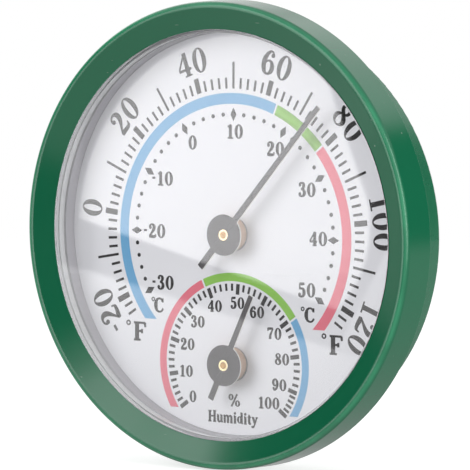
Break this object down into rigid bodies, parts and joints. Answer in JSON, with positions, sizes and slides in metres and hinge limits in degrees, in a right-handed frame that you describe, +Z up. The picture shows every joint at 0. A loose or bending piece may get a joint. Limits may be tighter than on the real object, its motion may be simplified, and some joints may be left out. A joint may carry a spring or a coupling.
{
  "type": "dial thermo-hygrometer",
  "caption": "Round wall and desk instrument: a temperature pointer and a smaller humidity pointer under a clear lens, in a green moulded case with a keyhole and a folding leg.",
  "frame": {"origin": "on the case's axis, in the plane of the flat back, at the mouth of the temperature adjuster's hole", "axes": "+Z up, +Y out of the back, so the dial faces -Y and +X is to the right as seen from the front"},
  "size_m": [0.132, 0.027, 0.132],
  "materials": {
    "green_plastic": "satin moulded plastic",
    "clear_plastic": "clear, polished",
    "white_plastic": "matt moulded plastic",
    "dial_white": "printed sheet",
    "black_enamel": "satin black",
    "brass": "turned",
    "coil_strip": "rolled strip",
    "steel": "plated"
  },
  "bodies": {
    "case": {"front_bezel": "green_plastic", "lens": "clear_plastic", "dial_sheet": "dial_white", "dial_carrier": "white_plastic", "rear_housing": "green_plastic", "case_screws": "steel", "stand_pins": "steel", "temperature_bush": "brass", "temperature_washer": "steel", "temperature_nut": "brass", "temperature_friction_washer": "steel", "humidity_bush": "brass", "humidity_washer": "steel", "humidity_nut": "brass", "humidity_friction_washer": "steel"},
    "temperature_setting": {"temperature_post": "brass", "temperature_adjuster": "brass", "temperature_coil": "coil_strip"},
    "temperature_needle": {"temperature_pointer": "black_enamel", "temperature_eyelet": "brass"},
    "humidity_setting": {"humidity_post": "brass", "humidity_adjuster": "brass", "humidity_coil": "coil_strip"},
    "humidity_needle": {"humidity_pointer": "black_enamel", "humidity_eyelet": "brass"},
    "leg": {"stand_leg": "green_plastic"}
  },
  "joints": [
    {"name": "temperature_adjust", "type": "hinge", "parent": "case", "child": "temperature_setting", "pos_m": [0, -0.013, 0], "axis": [0, 1, 0], "range_deg": [-12, 12]},
    {"name": "temperature_reading", "type": "hinge", "parent": "temperature_setting", "child": "temperature_needle", "pos_m": [0, -0.0202, 0], "axis": [0, 1, 0], "range_deg": [-164.5, 82.1], "stiffness_Nm_per_rad": 0.0034, "deforming": ["temperature_coil"]},
    {"name": "humidity_adjust", "type": "hinge", "parent": "case", "child": "humidity_setting", "pos_m": [0, -0.013, -0.0368], "axis": [0, 1, 0], "range_deg": [-12, 12]},
    {"name": "humidity_reading", "type": "hinge", "parent": "humidity_setting", "child": "humidity_needle", "pos_m": [0, -0.0202, -0.0368], "axis": [0, 1, 0], "range_deg": [-151, 102.1], "stiffness_Nm_per_rad": 0.0034, "deforming": ["humidity_coil"]},
    {"name": "leg_fold", "type": "hinge", "parent": "case", "child": "leg", "pos_m": [0, -0.0018, 0.024], "axis": [1, 0, 0], "range_deg": [0, 31]}
  ]
}
